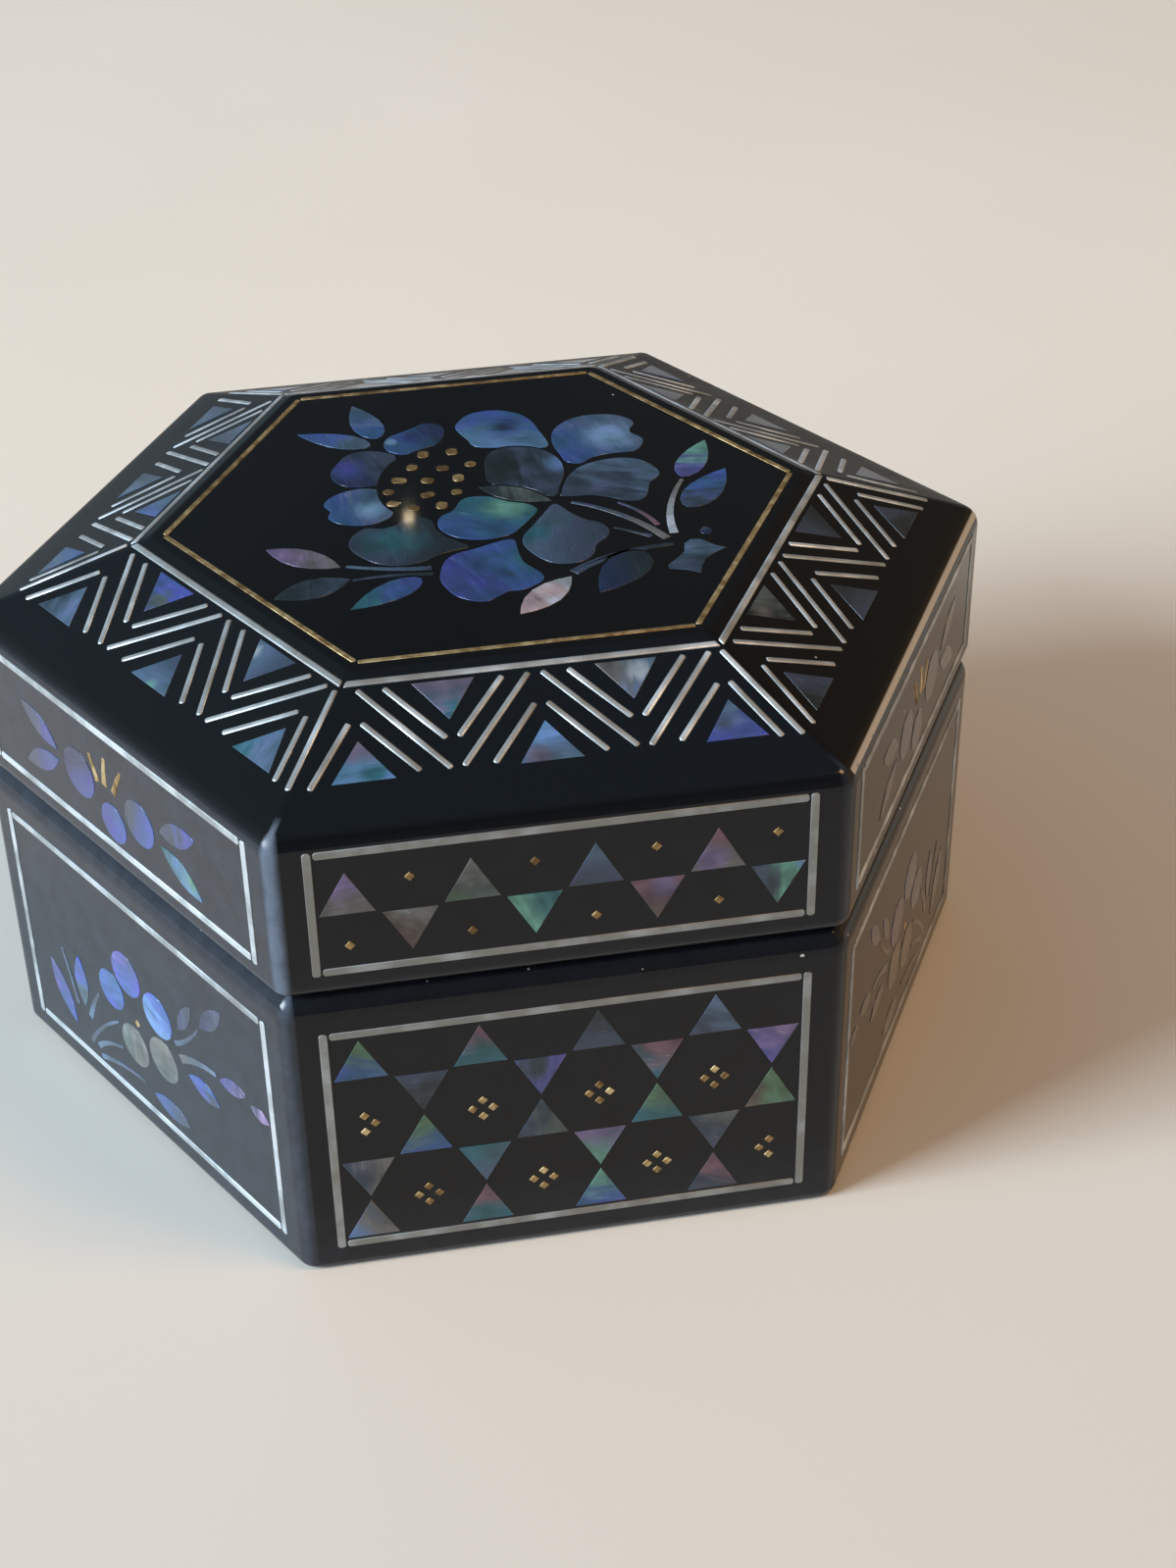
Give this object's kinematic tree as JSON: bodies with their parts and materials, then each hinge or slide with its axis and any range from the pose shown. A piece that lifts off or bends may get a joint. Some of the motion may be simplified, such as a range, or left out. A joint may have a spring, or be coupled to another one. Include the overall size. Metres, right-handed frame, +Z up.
{
  "type": "inlaid lacquer box with lift-off lid",
  "caption": "Six-sided black lacquer box on a wooden core, with a bevelled lid that lifts off an inner lip, inlaid with shell, silver strip and gold.",
  "frame": {"origin": "centre of the underside", "axes": "+Z up, +X through two opposite corners, -Y out of the front wall"},
  "size_m": [0.0596, 0.052, 0.0329],
  "materials": {
    "black_lacquer": "polished black lacquer",
    "lining_lacquer": "brown-black lacquer sprinkled with gold",
    "core_wood": "planed softwood",
    "silver": "cut silver strip, lightly tarnished",
    "shell": "thin mother-of-pearl, blue to green and violet",
    "gold": "cut gold leaf"
  },
  "bodies": {
    "base": {"base_floor_board": "core_wood", "base_wall_board_front": "core_wood", "base_wall_board_front_right": "core_wood", "base_wall_board_back_right": "core_wood", "base_wall_board_back": "core_wood", "base_wall_board_back_left": "core_wood", "base_wall_board_front_left": "core_wood", "lip_strip_front": "core_wood", "lip_strip_front_right": "core_wood", "lip_strip_back_right": "core_wood", "lip_strip_back": "core_wood", "lip_strip_back_left": "core_wood", "lip_strip_front_left": "core_wood", "base_lacquer": "black_lacquer", "base_underside_lacquer": "black_lacquer", "base_lining_lacquer": "lining_lacquer", "base_frame_strips": "silver", "base_lattice_triangles": "shell", "base_gold_squares": "gold", "base_blossom_rounds": "shell", "base_leaf_slips": "shell", "base_stem_slips": "shell", "base_gold_hearts": "gold"},
    "lid": {"lid_top_board": "core_wood", "lid_wall_board_front": "core_wood", "lid_wall_board_front_right": "core_wood", "lid_wall_board_back_right": "core_wood", "lid_wall_board_back": "core_wood", "lid_wall_board_back_left": "core_wood", "lid_wall_board_front_left": "core_wood", "lid_lacquer": "black_lacquer", "lid_lining_lacquer": "lining_lacquer", "lid_frame_strips": "silver", "lid_band_triangles": "shell", "lid_gold_dots": "gold", "lid_blossom_rounds": "shell", "lid_leaf_slips": "shell", "lid_gold_stamens": "gold", "slope_silver_strips": "silver", "slope_shell_triangles": "shell", "top_silver_line": "silver", "top_gold_line": "gold", "top_flower_petals": "shell", "top_leaf_slips": "shell", "top_stem_slips": "shell", "top_gold_seeds": "gold"}
  },
  "joints": [
    {"name": "lid_lift", "type": "slide", "parent": "base", "child": "lid", "axis": [0, 0, 1], "range_m": [0, 0.04]}
  ]
}
